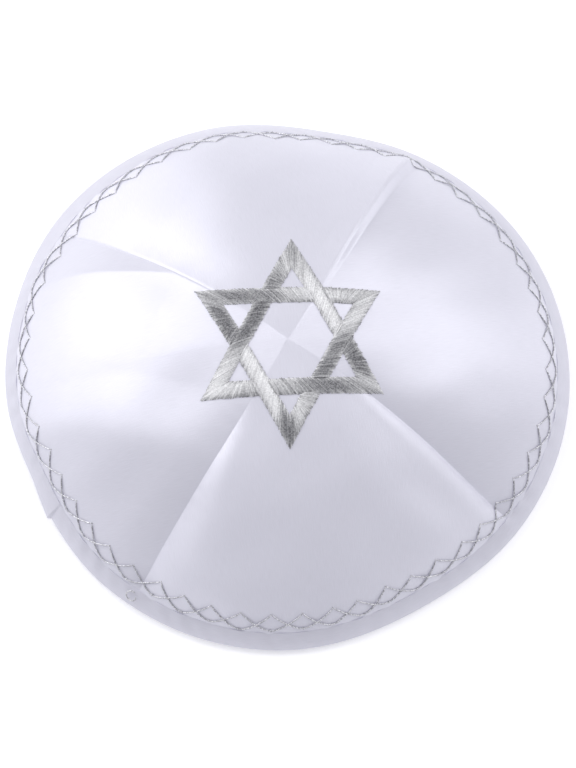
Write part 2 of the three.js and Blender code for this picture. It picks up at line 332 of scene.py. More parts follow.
def silver_finish(name, dark, light, metallic, has_painted_light):
    """Foil thread. With has_painted_light, an attribute paints each stitch's highlight or shade."""
    finish = Finish(name)
    winding = finish.noise(finish.object_place(), WINDING_SCALE, detail=1.0)
    share = finish.ramp(winding, ((0.3, 0), (0.7, 1)))
    # Painted light: the attribute paints each stitch's highlight or shade into the base colour.
    if has_painted_light:
        tone = finish.node("ShaderNodeAttribute", {"attribute_name": PAINTED_LIGHT}).out("Fac")
        share = tone * PAINTED_LIGHT_SHARE + share * (1 - PAINTED_LIGHT_SHARE)
    return finish.surface({
        "Base Color": finish.blend_colour(share, dark, light),
        "Roughness": 0.34 + winding * 0.2,
        "Metallic": metallic,
        "Normal": finish.bump(winding, 0.4, WINDING_DEPTH),
    })


silver = silver_finish(
    "silver_thread", (0.10, 0.10, 0.112, 1), (0.97, 0.97, 0.98, 1), metallic=0.4, has_painted_light=True
)
border_silver = silver_finish(
    "silver_border_thread", (0.34, 0.34, 0.37, 1), (0.9, 0.9, 0.93, 1), metallic=0.9, has_painted_light=False
)
print("silver finishes", silver.name, border_silver.name)

# %% [markdown]
# ## The crown's form
#
# The cap has no straight lines, so its form is a formula. A short table says how far the rim
# reaches at each azimuth, how far it lifts off the table, and how full the wall is there, from 0 for
# a gentle slope to 1 for a round bulge. Azimuths are degrees anticlockwise from the cap's right, as
# seen from above. All lengths in these cells are millimetres.

# %% Rim table
RimRow = namedtuple("RimRow", "azimuth reach lift fullness")
RIM = (
    RimRow(0, 86.8, 0, 1),
    RimRow(30, 86.8, 0, 0.8),
    RimRow(60, 84.8, 0, 0.8),
    RimRow(82, 83.2, 0, 0.8),
    RimRow(108, 87.1, 0, 0.5),
    RimRow(140, 89.2, 0, 0.1),
    RimRow(165, 87.6, 0, 0.6),
    RimRow(185, 86.4, 0, 1),
    RimRow(203, 84.0, 2.5, 1),
    RimRow(230, 85.4, 0, 1),
    RimRow(268, 85.2, 0, 1),
    RimRow(300, 82.5, 0, 1),
    RimRow(328, 85.1, 0, 0.8),
)


def rim_value(azimuth, column):
    """One column of the rim table at any azimuth, by a smooth curve through its rows."""
    angles = np.array([row.azimuth for row in RIM], float)
    values = np.array([getattr(row, column) for row in RIM], float)
    angles = np.concatenate([angles[-2:] - 360, angles, angles[:3] + 360])
    values = np.concatenate([values[-2:], values, values[:3]])
    turned = np.mod(azimuth, 360)
    row = np.searchsorted(angles, turned, side="right") - 1
    span = angles[row + 1] - angles[row]
    u = (turned - angles[row]) / span
    start_slope = (values[row + 1] - values[row - 1]) / (angles[row + 1] - angles[row - 1])
    end_slope = (values[row + 2] - values[row]) / (angles[row + 2] - angles[row])
    return (
        (2 * u**3 - 3 * u**2 + 1) * values[row]
        + (u**3 - 2 * u**2 + u) * span * start_slope
        + (3 * u**2 - 2 * u**3) * values[row + 1]
        + (u**3 - u**2) * span * end_slope
    )


print("rim table has", len(RIM), "rows")

# %% [markdown]
# A wall is an arc that turns down faster and faster from the crown to the rim. The run outward and
# the drop are added up in small steps, so that both can be looked up at any share of the way. Two
# such walls, a full one and a gentle one, are mixed at each azimuth. The crown point sits a little
# off the middle, and the whole crown leans back slightly.

# %% Walls and the smooth crown
CROWN_HEIGHT = 43.5
CROWN_POINT = np.array([0.1, -1.4])
CROWN_LEAN = 0.1
RIM_CENTRE = np.array([0.02, 0.15, 2.0])
SATIN_WALL = 1.0


def wall_curve(slope, lateness, steps=400):
    """A wall's run outward and its drop, each from 0 at the crown point to 1 at the rim."""
    angle = math.radians(slope) * ((np.arange(steps) + 0.5) / steps) ** lateness
    run = np.concatenate([[0], np.cumsum(np.cos(angle))])
    drop = np.concatenate([[0], np.cumsum(np.sin(angle))])
    return run / run[-1], drop / drop[-1]


FULL_WALL = wall_curve(slope=62, lateness=1.25)
GENTLE_WALL = wall_curve(slope=45, lateness=0.75)
WALL_SHARES = np.linspace(0, 1, len(FULL_WALL[0]))


def rim_lift(azimuth):
    """How far the rim stands off the table."""
    return np.maximum(rim_value(azimuth, "lift"), 0)


def smooth_point(azimuth, share):
    """The smooth crown, where share is 0 at the crown point and 1 at the rim."""
    full = np.clip(rim_value(azimuth, "fullness"), 0, 1)
    run = full * np.interp(share, WALL_SHARES, FULL_WALL[0])
    run += (1 - full) * np.interp(share, WALL_SHARES, GENTLE_WALL[0])
    drop = full * np.interp(share, WALL_SHARES, FULL_WALL[1])
    drop += (1 - full) * np.interp(share, WALL_SHARES, GENTLE_WALL[1])
    reach = rim_value(azimuth, "reach")
    lift = rim_lift(azimuth)
    pull = 1 - share**2
    x = run * reach * np.cos(np.radians(azimuth)) + CROWN_POINT[0] * pull
    y = run * reach * np.sin(np.radians(azimuth)) + CROWN_POINT[1] * pull
    z = lift + (CROWN_HEIGHT - lift) * (1 - drop) + CROWN_LEAN * y * (1 - run**2)
    return np.stack([x, y, z], axis=-1)


def smooth_normal(azimuth, share):
    """The outward direction of the smooth crown, from small steps each way."""
    inner = np.clip(share, 0.02, 0.99)
    outward = smooth_point(azimuth, inner + 0.01) - smooth_point(azimuth, inner - 0.01)
    around = smooth_point(azimuth + 1, inner) - smooth_point(azimuth - 1, inner)
    normal = np.cross(outward, around)
    return normal / np.linalg.norm(normal, axis=-1, keepdims=True)


def wall_length(azimuth, steps=24):
    """The length of cloth from the crown point to the rim."""
    shares = np.linspace(0, 1, steps + 1)
    points = [smooth_point(azimuth, np.full_like(azimuth, share)) for share in shares]
    return sum(np.linalg.norm(b - a, axis=-1) for a, b in zip(points, points[1:]))


around_rim = np.arange(0.0, 360.0, 1.0)
print("cloth from crown to rim", round(float(wall_length(around_rim).mean()), 1), "mm")

# %% [markdown]
# ## Seams, folds and creases
#
# Where two panels are sewn together, the turned-in edges and the pull of the thread shape the cloth
# on both sides. The seam at the right back has a raised lip. The two front seams lie in long
# valleys, which are lips below 0. Beside the left back seam the cloth rises in a long flat triangle
# and then falls back. The large soft folds are bumps with a place, a heading and a size, and one
# crease runs from the star to the left. Each row is one such feature, so a fold can be moved or
# flattened without touching any code.

# %% Seam and fold tables
Seam = namedtuple(
    "Seam",
    "crown rim bow ridge lip_crown lip_rim "
    "before_crown before_rim after_crown after_rim softness groove",
)
SEAMS = {
    "right_back": Seam(56.5, 61.0, 1.6, 0.8, 1.0, 3.0, 0.8, 3.6, 4.5, 9.0, 1.3, 0.25),
    "left_back": Seam(142.6, 147.0, 1.0, 0.0, 0.4, 0.4, 8.0, 8.0, 8.0, 8.0, 1.9, 0.2),
    "front_left": Seam(240.5, 236.8, -1.0, -0.2, -0.6, -2.4, 9.0, 17.0, 1.8, 15.0, 2.4, 0.04),
    "front_right": Seam(330.0, 325.6, -1.8, -0.4, -0.6, -2.1, 1.8, 10.0, 8.0, 13.5, 3.2, 0.04),
}
SEAM_RIDGE_WIDTH = 9.0
GROOVE_WIDTH = 0.35

Fold = namedtuple("Fold", "name x y heading half_length half_width height")
FOLDS = (
    Fold("right ridge", 56, -19, 343, 28, 15, 1.2),
    Fold("right front hollow", 62, -38, 330, 18, 8, -0.8),
    Fold("front dent", 48, -47, 330, 14, 6, -1.0),
    Fold("front hollow", 10, -62, 0, 30, 12, -0.9),
    Fold("back swell", -28, 50, 90, 24, 20, 1.2),
    Fold("front left swell", -24, -71, 341, 14, 7, 2.0),
    Fold("front right swell", 42, -60, 36, 18, 7, 1.8),
)
Flat = namedtuple("Flat", "seam share_start share_end width slope recovery rim_fade")
RAISED_FLAT = Flat("left_back", 0.40, 0.92, 21.0, 0.29, 34.0, 0.7)

Crease = namedtuple(
    "Crease",
    "name x y end_x end_y height end_height round left_start left_end right_start right_end",
)
CREASES = (
    Crease("left fold", -20, -35, -86, -17, 1.7, 1.7, 4.0, 14, 16, 14, 16),
)
print(len(SEAMS), "seams,", len(FOLDS), "folds,", len(CREASES), "crease")

# %% [markdown]
# Three plain curves do all the shaping. A bell is a soft swell, a tent is a crest that can be as
# sharp as a pressed fold, and a soft step fades one thing into another.


# %% Shaping curves
def bell(distance, width):
    """A swell of 1 that has faded to about a third at its width."""
    return np.exp(-((distance / width) ** 2))


def tent(distance, width, power, top=0.2):
    """A crest that falls from 1 to 0 over its width, rounded at the top."""
    rounded = np.sqrt(distance**2 + top**2) - top
    return np.clip(1 - rounded / width, 0, 1) ** power


def soft_step(value, start, end):
    """Rises smoothly from 0 at the start to 1 at the end."""
    t = np.clip((value - start) / (end - start), 0, 1)
    return t * t * (3 - 2 * t)


def seam_azimuth(seam, share):
    """Where a seam runs. It goes straight from crown to rim, apart from its bow."""
    return seam.crown + (seam.rim - seam.crown) * share + seam.bow * 4 * share * (1 - share)


def seam_distance(seam, azimuth, share, radius):
    """Millimetres from a seam, positive on the side of growing azimuth."""
    turn = np.mod(azimuth - seam_azimuth(seam, share) + 180, 360) - 180
    return np.radians(turn) * radius


ridge_left = float(bell(SEAM_RIDGE_WIDTH, SEAM_RIDGE_WIDTH))
print("a ridge keeps", round(ridge_left, 2), "of its height", SEAM_RIDGE_WIDTH, "mm from its seam")

# %% [markdown]
# ## Broad relief
#
# All relief is worked out as one height above the smooth crown, so the stitches and the cloth always
# agree on where the surface is. The heights fade out at the crown point and at the rim, where the
# seams and the tape hold the cloth.


# %% Broad relief
def ridge_and_fold_height(azimuth, share, place, radius):
    """Soft ridges along the seams, and the swells and hollows of the fold table."""
    height = np.zeros_like(share)
    for seam in SEAMS.values():
        height += seam.ridge * bell(seam_distance(seam, azimuth, share, radius), SEAM_RIDGE_WIDTH)
    for fold in FOLDS:
        heading = math.radians(fold.heading)
        dx = place[..., 0] - fold.x
        dy = place[..., 1] - fold.y
        along = dx * math.cos(heading) + dy * math.sin(heading)
        across = dy * math.cos(heading) - dx * math.sin(heading)
        height += fold.height * bell(along, fold.half_length) * bell(across, fold.half_width)
    return height


def raised_flat_height(azimuth, share, radius):
    """The flat triangle that rises away from its seam, and the slope that takes it back."""
    flat = RAISED_FLAT
    reach = np.maximum(seam_distance(SEAMS[flat.seam], azimuth, share, radius), 0)
    opening = (share - flat.share_start) / (flat.share_end - flat.share_start)
    width = flat.width * np.clip(opening, 0, 1.2)
    back = width * np.clip(1 - (reach - width) / flat.recovery, 0, 1)
    slope = flat.slope * (1 - flat.rim_fade * soft_step(share, 0.6, 0.95))
    return slope * np.minimum(reach, back)


def crease_height(crease, calm, place):
    """A crest along a line, with its own width on each side."""
    length = math.hypot(crease.end_x - crease.x, crease.end_y - crease.y)
    cos = (crease.end_x - crease.x) / length
    sin = (crease.end_y - crease.y) / length
    dx = place[..., 0] - crease.x
    dy = place[..., 1] - crease.y
    t = (dx * cos + dy * sin) / length
    across = dy * cos - dx * sin
    inner = np.clip(t, 0, 1)
    left = crease.left_start + (crease.left_end - crease.left_start) * inner
    right = crease.right_start + (crease.right_end - crease.right_start) * inner
    fade = soft_step(t, -0.1, 0.25) * (1 - soft_step(t, 0.95, 1.2))
    crest = (crease.height + (crease.end_height - crease.height) * inner) * calm**0.5 * fade
    return crest * tent(across, np.where(across > 0, left, right), 1.3, crease.round)


def broad_relief(azimuth, share, place):
    """Seam ridges, folds, the raised flat and creases, as in the construction."""
    radius = np.hypot(place[..., 0], place[..., 1])
    calm = np.sin(np.pi * np.clip(share, 0, 1))
    height = ridge_and_fold_height(azimuth, share, place, radius) * calm
    height += raised_flat_height(azimuth, share, radius) * np.clip(calm * 2.6, 0, 1)
    for crease in CREASES:
        height += crease_height(crease, calm, place)
    return height


half_way = np.full_like(around_rim, 0.5)
relief = broad_relief(around_rim, half_way, smooth_point(around_rim, half_way))
print("relief half way down", round(float(relief.min()), 1), "to", round(float(relief.max()), 1), "mm")

# %% [markdown]
# ## Fine relief
#
# Sewn satin is never quite smooth. A few long waves cross it, each seam has a lip or a valley and a
# tight groove, and the sewing thread draws the cloth into shallow puckers. The waves come from a
# seeded generator, so the cap is the same each time.

# %% Fine relief
RNG = np.random.default_rng(7)
WAVE_STEEPNESS = 0.0035
WAVES = [
    (length, RNG.uniform(0, 180), RNG.uniform(0, 360), WAVE_STEEPNESS * length)
    for length in (17, 21, 26, 31, 38, 46)
]
PUCKER_HEIGHT = 0.03
PUCKER_REACH = 4.5


def soft_waves(place):
    """The slight unevenness of sewn cloth, as a few long crossing waves."""
    height = np.zeros(place.shape[:-1])
    for length, heading, phase, amplitude in WAVES:
        heading = math.radians(heading)
        along = place[..., 0] * math.cos(heading) + place[..., 1] * math.sin(heading)
        height += amplitude * np.sin(2 * np.pi * along / length + math.radians(phase))
    return height


def seam_detail(azimuth, share, place):
    """Each seam's lip, its groove and the puckers along it."""
    radius = np.hypot(place[..., 0], place[..., 1])
    length = share * 100
    pucker = np.sin(length * 0.95 + 1.7 * np.sin(length * 0.23)) * np.clip(share * 3, 0, 1)
    lip_fade = soft_step(share, 0.15, 0.4) * (1 - soft_step(share, 0.84, 0.96))
    groove_fade = soft_step(share, 0.0, 0.4) * (1 - soft_step(share, 0.93, 0.95))
    height = np.zeros_like(share)
    for seam in SEAMS.values():
        distance = seam_distance(seam, azimuth, share, radius)
        before = seam.before_crown + (seam.before_rim - seam.before_crown) * share
        after = seam.after_crown + (seam.after_rim - seam.after_crown) * share
        lip = (seam.lip_crown + (seam.lip_rim - seam.lip_crown) * share) * lip_fade
        height += lip * tent(distance, np.where(distance > 0, after, before), seam.softness)
        height -= seam.groove * groove_fade * bell(distance, GROOVE_WIDTH)
        height += PUCKER_HEIGHT * pucker * bell(distance, PUCKER_REACH)
    return height


print("waves", [round(amplitude, 2) for length, heading, phase, amplitude in WAVES], "mm high")

# %% [markdown]
# ## Points on the cap
#
# Every piece asks these three functions where it goes. The first gives a point at any azimuth and
# any share of the way to the rim. The second works near the rim, in distances up the wall from the
# panels' cut edge, and the tape and the border stitch use it. The third finds what lies under a
# point of a flat drawing, which is how the star is laid on the crown.


# %% Points on the cap
def crown_point(azimuth, share, offset=0.0):
    """A point of the finished cap, at a distance outside the satin's outer face."""
    azimuth, share = np.broadcast_arrays(np.asarray(azimuth, float), np.asarray(share, float))
    place = smooth_point(azimuth, share)
    calm = np.sin(np.pi * np.clip(share, 0, 1)) ** 0.5
    height = broad_relief(azimuth, share, place) + seam_detail(azimuth, share, place)
    height = height + soft_waves(place) * calm
    raised = (height + offset)[..., None]
    return place + smooth_normal(azimuth, share) * raised + RIM_CENTRE


def wall_point(azimuth, up, offset):
    """A point near the rim, where up is the distance up the wall from the panels' cut edge."""
    azimuth, up, offset = np.broadcast_arrays(azimuth, up, offset)
    length = wall_length(azimuth)
    edge = crown_point(azimuth, 1.0, offset)
    above = crown_point(azimuth, 1 - 1 / length, offset)
    point = crown_point(azimuth, 1 - np.maximum(up, 0) / length, offset)
    return point + (above - edge) * np.minimum(up, 0)[..., None]


def crown_place(x, y):
    """The azimuth and share of the crown under a plan position measured from the rim's centre."""
    x, y = np.asarray(x, float), np.asarray(y, float)
    share = np.hypot(x, y) / RIM[0].reach
    for _ in range(60):
        centre = CROWN_POINT * (1 - share**2)[..., None]
        dx, dy = x - centre[..., 0], y - centre[..., 1]
        azimuth = np.degrees(np.arctan2(dy, dx))
        point = smooth_point(azimuth, share)
        found = np.hypot(point[..., 0] - centre[..., 0], point[..., 1] - centre[..., 1])
        share = np.clip(share + (np.hypot(dx, dy) - found) / 100, 0, 1)
    return azimuth, share


print("crown point", np.round(crown_point(0.0, 0.0), 1), "mm")

# %% [markdown]
# ## From a flat grid to a piece
#
# Each cloth piece begins as a grid with one vertex for each place on the flat cloth. The vertices
# then move to where the formula puts them, and the flat places stay on the piece as its cloth map.
# A panel's grid comes to a point at the crown, so its doubled vertices are merged there. Last, a
# Solidify modifier gives the sheet its thickness on the inner side.


# %% Helpers that make pieces
BODY = "root"
MERGE_DISTANCE = 0.00002


def finish_piece(name, bm, material, replaces=()):
    """Turns a bmesh into a finished object that rides on the cap."""
    mesh = bpy.data.meshes.new(name)
    bm.to_mesh(mesh)
    bm.free()
    mesh.shade_smooth()
    mesh.materials.append(material)
    piece = bpy.data.objects.new(name, mesh)
    bpy.context.scene.collection.objects.link(piece)
    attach(piece, BODY)
    if replaces:
        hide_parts(*replaces)
    return piece


def unit_grid(columns, rows):
    """A bmesh grid, and each vertex's place in it from 0 to 1 both ways."""
    bm = bmesh.new()
    bmesh.ops.create_grid(bm, x_segments=columns, y_segments=rows, size=0.5)
    bm.verts.ensure_lookup_table()
    places = np.array([vertex.co[:2] for vertex in bm.verts]) + 0.5
    return bm, places[:, 0], places[:, 1]


def shape_cloth(bm, points, flat):
    """Moves a grid's vertices to their points, and keeps their flat places as the cloth map."""
    layer = bm.loops.layers.uv.new(CLOTH_MAP)
    for vertex, point in zip(bm.verts, points * MM):
        vertex.co = point
    for face in bm.faces:
        for loop in face.loops:
            loop[layer].uv = flat[loop.vert.index] * MM
    bmesh.ops.remove_doubles(bm, verts=bm.verts, dist=MERGE_DISTANCE)
    bmesh.ops.recalc_face_normals(bm, faces=bm.faces)
    for edge in bm.edges:
        edge.smooth = not edge.is_boundary


def add_wall(piece, thickness):
    """Gives a sheet its thickness on its inner side."""
    wall = piece.modifiers.new("wall", "SOLIDIFY")
    wall.thickness = thickness * MM
    wall.offset = -1


print("every piece rides on", BODY)

# %% [markdown]
# ## The four panels
#
# A panel is a triangle of satin with its tip at the crown point. The grid is crowded towards the
# seams, where the groove and the lips are narrow, and a little towards the rim, where the cloth
# turns down into the tape. The warp runs down each panel's middle.

# %% Panels
PANEL_COLUMNS = 150
PANEL_ROWS = 170
SEAM_CROWDING = 0.55
RIM_CROWDING = 0.85
PANELS = {
    "panel_back": ("right_back", "left_back"),
    "panel_left": ("left_back", "front_left"),
    "panel_front": ("front_left", "front_right"),
    "panel_right": ("front_right", "right_back"),
}


def panel_piece(node, start_seam, end_seam):
    """The panel from one seam anticlockwise to the next."""
    bm, across, down = unit_grid(PANEL_COLUMNS, PANEL_ROWS)
    spread = across - SEAM_CROWDING * np.sin(2 * np.pi * across) / (2 * np.pi)
    share = down**RIM_CROWDING
    start = seam_azimuth(SEAMS[start_seam], share)
    width = np.mod(seam_azimuth(SEAMS[end_seam], share) - start, 360)
    azimuth = start + width * spread
    from_middle = np.radians(width * (spread - 0.5))
    length = share * wall_length(azimuth)
    flat = np.stack([length * np.sin(from_middle), length * np.cos(from_middle)], axis=-1)
    shape_cloth(bm, crown_point(azimuth, share), flat)
    piece = finish_piece("satin_" + node, bm, satin, [node])
    add_wall(piece, SATIN_WALL)
    return piece


for node, seams in PANELS.items():
    panel_piece(node, *seams)

# %% [markdown]
# ## The edge tape
#
# The tape is a strip of satin folded lengthwise over the panels' raw edge. Its section has two
# straight legs and a half turn between them: down the outside, round under the edge and up the
# inside. It is drawn in against the cloth towards its long edges and stands a little proud at the
# fold, and it is pressed flat where it rests on the table. Small ripples run along it, because a
# straight strip sewn round a curve can't lie quite flat.

# %% Edge tape
TAPE_WIDTH = 6.5
TAPE_CUT = 15.5
TAPE_THICKNESS = 0.38
TAPE_STAND_OFF = 1.0
TAPE_FOLD_DEPTH = 1.1
TAPE_LEG = 0.38
TAPE_SNUG = 0.9
TAPE_RIPPLE = 0.15
TAPE_COLUMNS = 560
TAPE_ROWS = 30
RIM_RADIUS = 86


def tape_section(place):
    """The tape's outer face: offset and up for places from 0 (outer edge) to 1 (inner edge)."""
    outside, inside = TAPE_STAND_OFF, -SATIN_WALL - TAPE_STAND_OFF
    middle, half = (outside + inside) / 2, (outside - inside) / 2
    turn = np.clip((place - TAPE_LEG) / (1 - 2 * TAPE_LEG), 0, 1) * np.pi
    leg = np.where(place < 0.5, 1 - place / TAPE_LEG, (place - 1 + TAPE_LEG) / TAPE_LEG)
    up = np.clip(leg, 0, 1) * TAPE_WIDTH - TAPE_FOLD_DEPTH * np.sin(turn)
    return middle + half * np.cos(turn), up


def tape_fit(offset, up, rise=0.0):
    """Draws the tape in against the cloth towards its two long edges."""
    height = np.clip(up / TAPE_WIDTH, 0, 1)
    snug = TAPE_SNUG * height**2 - rise * (1 - 0.85 * height**0.6)
    return np.where(offset > -0.5 * SATIN_WALL, offset - snug, offset + snug)


def tape_ripple(turn, up):
    """Small waves along the tape, uneven because three of them beat together."""
    wave = np.sin(47 * turn) * np.sin(19 * turn + 1.0) + 0.6 * np.sin(83 * turn + up * 0.4)
    return TAPE_RIPPLE * wave * np.clip(up / 3, 0, 1)


def tape_piece():
    """The whole loop of tape, pressed flat where it would sink into the table."""
    bm, around, across = unit_grid(TAPE_COLUMNS, TAPE_ROWS)
    azimuth = around * 360
    turn = np.radians(azimuth)
    offset, up = tape_section(across)
    offset = tape_fit(offset, up) + tape_ripple(turn, up) * np.where(across < 0.5, 1, -1)
    points = wall_point(azimuth, up, offset)
    points[:, 2] = np.maximum(points[:, 2], rim_lift(azimuth))
    flat = np.stack([across * TAPE_CUT, turn * RIM_RADIUS], axis=-1)
    shape_cloth(bm, points, flat)
    piece = finish_piece("satin_edge_tape", bm, tape_satin, ["edge_tape"])
    add_wall(piece, TAPE_THICKNESS)
    return piece


edge_tape = tape_piece()
print(edge_tape.name, len(edge_tape.data.polygons), "faces")

# %% [markdown]
# The tape's cut end laps over its beginning on the left of the cap. It is a short second layer that
# uses the same section, and its raw end stands out as a small step.

# %% Tape end
LAP_START = 212.0
LAP_LENGTH = 10.9
LAP_SLANT = 1.2
LAP_RISE = 1.1
LAP_SINK = 0.12
LAP_THICKNESS = 0.25
LAP_COLUMNS = 60
LAP_CLOTH = 16


def tape_end_piece():
    """The lap, from its raw end at 0 to where it sinks into the tape at 1."""
    bm, around, across = unit_grid(LAP_COLUMNS, TAPE_ROWS)
    around = around**1.5
    azimuth = LAP_START + LAP_SLANT * (across - 0.3) - LAP_LENGTH * around
    rise = LAP_RISE * (1 - around) ** 1.3 * soft_step(around, -0.01, 0.05) - LAP_SINK
    offset, up = tape_section(across)
    offset = tape_fit(offset, up, rise)
    up = up - np.where(up < 0, rise * 0.6, 0)
    flat = np.stack([across * TAPE_CUT, around * LAP_CLOTH], axis=-1)
    shape_cloth(bm, wall_point(azimuth, up, offset), flat)
    piece = finish_piece("satin_tape_end", bm, tape_satin, ["tape_end"])
    add_wall(piece, LAP_THICKNESS)
    return piece


tape_end = tape_end_piece()
print(tape_end.name, "laps", round(math.radians(LAP_LENGTH) * RIM_RADIUS, 1), "mm of the rim")

# %% [markdown]
# ## Thread
#
# A thread is a path with a round section. All the stitches of one band go into one curve object,
# which is then made a mesh, so that hundreds of stitches stay one light piece. The mesh keeps no
# record of which point came from which stitch, but its order is known: first the end caps, from the
# last path back to the first, and then the tubes in the order of the paths. The painted highlight
# and shade values are laid out in that order, so that each one reaches its own stitch.


# %% Thread maker
THREAD_SIDES = 6


def painted_light_values(painted_light_rows, vertex_count):
    """One painted light value for each vertex of a threads mesh, from a row of them for each path."""
    path_count, path_length = painted_light_rows.shape
    cap_size = vertex_count // path_count - THREAD_SIDES * path_length
    caps = np.repeat(painted_light_rows[::-1, 0], cap_size)
    return np.concatenate([caps, np.repeat(painted_light_rows, THREAD_SIDES)])


def thread_piece(name, paths, radius, material, replaces=(), closed=False, painted_light_rows=None):
    """Round threads along paths, as one mesh piece."""
    curve = bpy.data.curves.new(name + "_path", "CURVE")
    curve.dimensions = "3D"
    curve.bevel_depth = radius * MM
    curve.bevel_resolution = THREAD_SIDES // 2 - 2
    curve.use_fill_caps = True
    for path in paths:
        spline = curve.splines.new("POLY")
        spline.points.add(len(path) - 1)
        flat_points = np.concatenate([path * MM, np.ones((len(path), 1))], axis=1)
        spline.points.foreach_set("co", flat_points.ravel())
        spline.use_cyclic_u = closed
    holder = bpy.data.objects.new(name + "_path", curve)
    bpy.context.scene.collection.objects.link(holder)
    evaluated = holder.evaluated_get(bpy.context.evaluated_depsgraph_get())
    mesh = bpy.data.meshes.new_from_object(evaluated)
    bpy.data.objects.remove(holder)
    if painted_light_rows is not None:
        attribute = mesh.attributes.new(PAINTED_LIGHT, "FLOAT", "POINT")
        attribute.data.foreach_set("value", painted_light_values(painted_light_rows, len(mesh.vertices)))
    bm = bmesh.new()
    bm.from_mesh(mesh)
    bpy.data.meshes.remove(mesh)
    piece = finish_piece(name, bm, material, replaces)
    print(name, len(paths), "threads,", len(piece.data.polygons), "faces")
    return piece


print("a thread has", THREAD_SIDES, "sides")

# %% [markdown]
# ## The border stitch
#
# Two silver threads run round the cap in opposite zigzags, so they cross and leave a row of
# diamonds. Each thread is pinned at a sharp point on its upper side and swings round below. One
# thread lifts a little where it passes over the other. The stitch was fed by hand, so its points
# wander a little.

# %% Border stitch
BORDER_REPEATS = 27
BORDER_LOW = 7.8
BORDER_HIGH = 13.9
BORDER_RADIUS = 0.24
BORDER_STEPS = 22
WANDER_ALONG = 0.035
WANDER_HIGH = 0.35
WANDER_LOW = 0.3
PIN_DEPTH = 1.3
CROSSING_LIFT = 0.25
POINT_JITTER = RNG.normal(0, 1, (2, BORDER_REPEATS, 3))


def border_thread(index):
    """One thread's path round the cap."""
    repeat = np.arange(BORDER_REPEATS)[:, None]
    step = np.arange(BORDER_STEPS)[None, :] / BORDER_STEPS
    wander = POINT_JITTER[index][:, None, :]
    ahead = np.roll(wander, -1, axis=0)
    mixed = wander * (1 - step[..., None]) + ahead * step[..., None]
    place = (repeat + step + 0.5 * index + WANDER_ALONG * mixed[..., 0]) / BORDER_REPEATS
    swing = np.minimum(1, 1.04 * (1 - np.abs(2 * step - 1) ** 1.4))
    high = BORDER_HIGH + WANDER_HIGH * mixed[..., 1]
    low = BORDER_LOW + WANDER_LOW * wander[..., 2]
    up = high + (low - high) * swing
    pins = bell(step, 0.03) + bell(step - 1, 0.03)
    offset = BORDER_RADIUS * (0.9 - PIN_DEPTH * pins)
    offset = offset + CROSSING_LIFT * bell(step - (0.25 if index else 0.75), 0.09)
    azimuth, up, offset = np.broadcast_arrays(place * 360, up, offset)
    return wall_point(azimuth.ravel(), up.ravel(), offset.ravel())


threads = [border_thread(0), border_thread(1)]
thread_piece(
    "border_stitch", threads, BORDER_RADIUS, border_silver, closed=True
)

# %% [markdown]
# At each turn a short tight stitch crosses the thread and holds it down. Each one is a small arch
# that starts and ends in the cloth.


# %% Border tacks
TACK_REACH = 0.55
TACK_HEIGHT = 0.28
TACK_RADIUS = 0.14


def border_tacks():
    """A short tight stitch over each turn, where the needle caught the thread."""
    paths = []
    arch = np.array([-1, -0.5, 0, 0.5, 1])[:, None]
    lift = np.array([0, 0, TACK_HEIGHT])
    half = BORDER_STEPS // 2
    for thread in threads:
        for index, turn in enumerate(thread[::half]):
            ahead = thread[(index * half + 1) % len(thread)] - turn
            side = np.cross(ahead, [0, 0, 1.0])
            side *= (TACK_REACH + RNG.normal(0, 0.08)) / np.linalg.norm(side)
            paths.append(turn + side * arch * 0.7 + lift * (1 - arch**2))
    return paths


thread_piece("border_tacks", border_tacks(), TACK_RADIUS, border_silver)

# %% [markdown]
# The end of the border thread was left loose on the lower left, where it lies over the tape in a
# small open curl.


# %% Thread curl
CURL_AZIMUTH = 235.5
CURL_UP = 5.0
CURL_RADIUS = 1.5
CURL_TURN = 4.2 * np.pi / 2
CURL_THREAD_RADIUS = 0.25
CURL_CIRCLE = 85


def loose_curl():
    """A curl that tightens and drifts along the tape, raised in its middle."""
    turn = np.linspace(0, 1, 40)
    angle = turn * CURL_TURN + 0.6
    radius = CURL_RADIUS * (1 - 0.35 * turn)
    up = CURL_UP + radius * np.sin(angle) - 1.2 * turn
    offset = 1.2 + 0.9 * np.sin(np.pi * turn)
    azimuth = CURL_AZIMUTH + np.degrees((radius * np.cos(angle) + 1.5 * turn) / CURL_CIRCLE)
    return wall_point(azimuth, up, offset)


thread_piece("thread_curl", [loose_curl()], CURL_THREAD_RADIUS, border_silver)

# %% [markdown]
# ## The embroidered star
#
# The star is two interlaced triangles of six bars, embroidered as six arms. An arm runs up one leg
# to its tip and down the other. Its short leg ends against the bar that crosses it, and its long leg
# goes on to the next arm, so each crossing shows one band over and one under. The tips of a hand-fed
# embroidery never land quite evenly, so each has its own heading and reach.


# %% Star outline
STAR_CENTRE = np.array([0.8, -1.55])
STAR_BAND = 4.7
STAR_GAP = 0.3
TIP_HEADINGS = (30.9, 89.4, 150.3, 213.7, 270.0, 331.4)
TIP_REACHES = (31.3, 32.4, 32.6, 31.8, 32.0, 31.6)


def star_tip(index):
    """A tip's place in the plan, counted anticlockwise from the upper right."""
    heading = math.radians(TIP_HEADINGS[index % 6])
    return STAR_CENTRE + TIP_REACHES[index % 6] * np.array([math.cos(heading), math.sin(heading)])


def bar_edge(index, inset):
    """The edge of the bar from one tip to the next but one: its outward direction and distance."""
    start = star_tip(index)
    along = star_tip(index + 2) - start
    along = along / np.linalg.norm(along)
    outward = np.array([along[1], -along[0]])
    return outward, outward @ start - inset


def meet(first, second):
    """Where two edges cross."""
    return np.linalg.solve(np.array([first[0], second[0]]), np.array([first[1], second[1]]))


def arm_edge(index, inset):
    """Three points along one edge of an arm: its short leg's end, its tip and its long leg's end."""
    return np.array([
        meet(bar_edge(index, inset), bar_edge(index - 1, STAR_GAP)),
        meet(bar_edge(index, inset), bar_edge(index - 2, inset)),
        meet(bar_edge(index - 2, inset), bar_edge(index + 3, STAR_BAND - STAR_GAP)),
    ])


